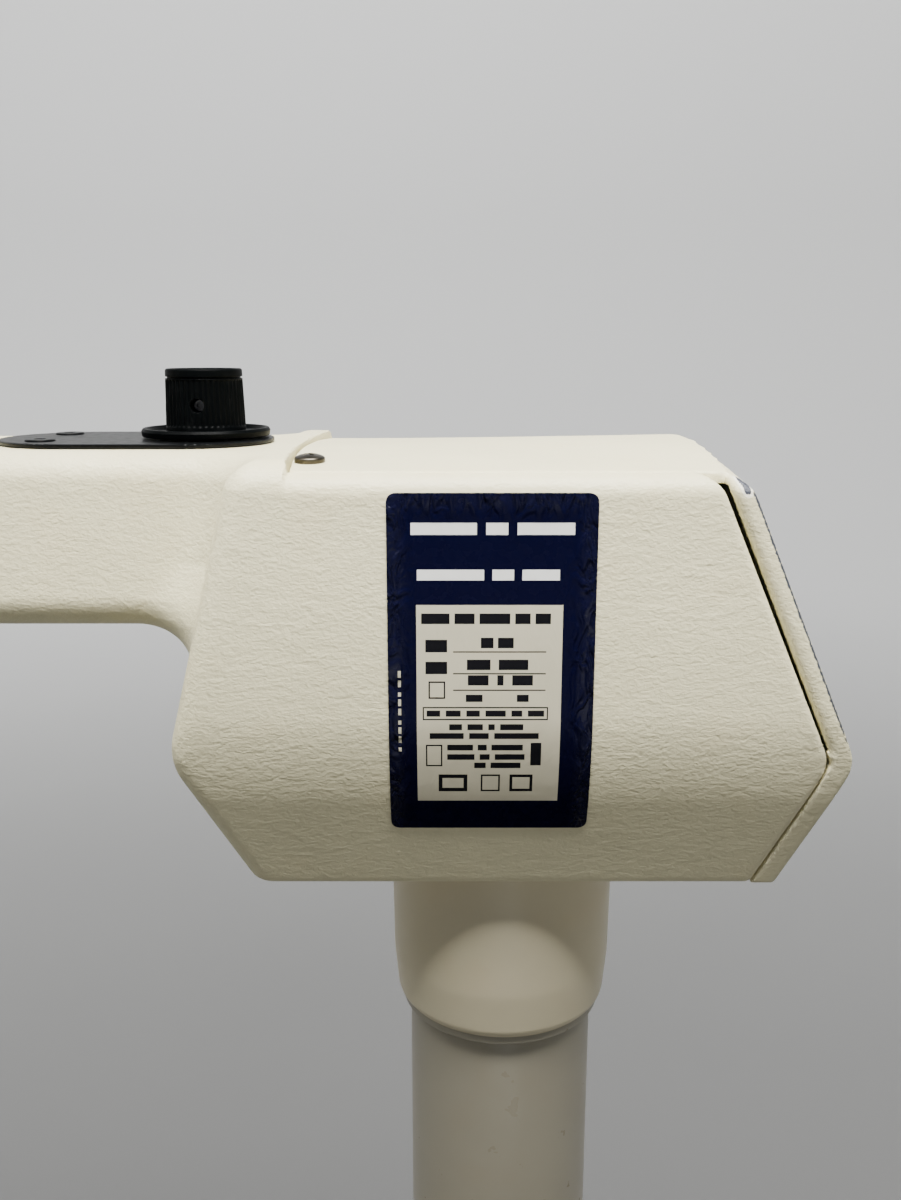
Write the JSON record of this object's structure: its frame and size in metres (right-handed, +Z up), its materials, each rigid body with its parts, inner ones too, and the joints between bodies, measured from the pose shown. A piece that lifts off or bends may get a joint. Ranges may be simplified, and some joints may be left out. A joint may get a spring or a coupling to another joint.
{
  "type": "dental operating light",
  "caption": "Post-mounted dental operating light: boxy ivory power-supply housing with a black dimmer knob, a rigid arm, a balanced arm and a reflector head with side handles.",
  "frame": {"origin": "centre of the post's foot, where the post sits in its socket", "axes": "+Z up along the post; the rigid arm runs towards -X at rest; the lamp shines towards -Y"},
  "size_m": [1.3135, 0.2011, 0.9457],
  "materials": {
    "textured_paint": "textured ivory enamel",
    "smooth_paint": "smooth ivory enamel",
    "post_paint": "smooth grey-ivory enamel",
    "black_plastic": "matte",
    "grey_plastic": "matte",
    "steel": "brushed",
    "dark_steel": "oxide black",
    "aluminium": "satin",
    "copper_winding": "enamelled wire",
    "core_steel": "varnished laminations",
    "label_vinyl": "laminated",
    "ceramic": "unglazed",
    "mirror": "coated",
    "clear_shield": "clear"
  },
  "bodies": {
    "post": {"post_tube": "post_paint", "post_top_plug": "steel", "stop_pin": "dark_steel", "thrust_washer": "grey_plastic"},
    "swing_arm": {"arm_housing": "textured_paint", "rear_cover": "textured_paint", "cover_screw_front": "steel", "swivel_hub": "smooth_paint", "hub_bushing_upper": "grey_plastic", "hub_bushing_lower": "grey_plastic", "hub_screw_1": "steel", "hub_screw_2": "steel", "hub_screw_3": "steel", "hub_screw_4": "steel", "transformer_bracket": "aluminium", "transformer_core": "core_steel", "transformer_coil": "copper_winding", "terminal_block": "black_plastic", "fuse_holder": "black_plastic", "intensity_switch": "grey_plastic", "switch_nut": "steel", "control_plate": "black_plastic", "plate_screw_front": "black_plastic", "plate_screw_back": "black_plastic", "rating_label": "label_vinyl", "rigid_arm_tube": "aluminium", "elbow_socket": "textured_paint", "elbow_bushing": "grey_plastic"},
    "knob": {"intensity_knob": "black_plastic", "knob_skirt": "black_plastic", "knob_set_screw": "dark_steel", "switch_shaft": "steel"},
    "elbow": {"elbow_block": "smooth_paint", "elbow_spindle": "steel", "elbow_pivot_pin": "steel", "elbow_tie_pin": "steel"},
    "flex_arm": {"flex_arm_tube": "aluminium", "flex_cover_upper": "textured_paint", "flex_cover_lower": "textured_paint", "balance_spring": "dark_steel"},
    "tie_rod": {"tie_rod": "steel"},
    "wrist": {"wrist_block": "smooth_paint", "wrist_pivot_pin": "steel", "wrist_tie_pin": "steel"},
    "drop_arm": {"drop_stem": "smooth_paint", "tilt_fork": "smooth_paint", "tilt_pin": "steel"},
    "tilt_block": {"tilt_hub": "smooth_paint"},
    "head": {"head_shell": "smooth_paint", "front_bezel": "grey_plastic", "lens_shield": "clear_shield", "reflector": "mirror", "lamp_socket": "ceramic", "halogen_lamp": "clear_shield", "glare_cap": "aluminium", "left_handle": "black_plastic", "right_handle": "black_plastic"}
  },
  "joints": [
    {"name": "arm_swing", "type": "hinge", "parent": "post", "child": "swing_arm", "pos_m": [0, 0, 0.658], "axis": [0, 0, 1], "range_deg": [-160, 160]},
    {"name": "knob_turn", "type": "hinge", "parent": "swing_arm", "child": "knob", "pos_m": [-0.0764, 0, 0.765], "axis": [0, 0, 1], "range_deg": [-270, 0]},
    {"name": "elbow_yaw", "type": "hinge", "parent": "swing_arm", "child": "elbow", "pos_m": [-0.52, 0, 0.76], "axis": [0, 0, 1], "range_deg": [-135, 135]},
    {"name": "flex_pitch", "type": "hinge", "parent": "elbow", "child": "flex_arm", "pos_m": [-0.52, 0, 0.838], "axis": [0, 1, 0], "range_deg": [-25, 40]},
    {"name": "tie_rod_pitch", "type": "hinge", "parent": "elbow", "child": "tie_rod", "pos_m": [-0.52, 0, 0.804], "axis": [0, 1, 0], "range_deg": [-25, 40]},
    {"name": "wrist_level", "type": "hinge", "parent": "flex_arm", "child": "wrist", "pos_m": [-1.0321, 0, 0.9283], "axis": [0, 1, 0], "range_deg": [-40, 25]},
    {"name": "head_yaw", "type": "hinge", "parent": "wrist", "child": "drop_arm", "pos_m": [-1.0701, 0, 0.9283], "axis": [0, 0, 1], "range_deg": [-170, 170]},
    {"name": "head_tilt", "type": "hinge", "parent": "drop_arm", "child": "tilt_block", "pos_m": [-1.0701, 0, 0.7603], "axis": [1, 0, 0], "range_deg": [-45, 50]},
    {"name": "head_roll", "type": "hinge", "parent": "tilt_block", "child": "head", "pos_m": [-1.0701, 0, 0.7603], "axis": [0, -0.8192, -0.5736], "range_deg": [-90, 90]}
  ],
  "couplings": [
    {"joint": "tie_rod_pitch", "follows": "flex_pitch", "ratio": 1},
    {"joint": "wrist_level", "follows": "flex_pitch", "ratio": -1}
  ]
}
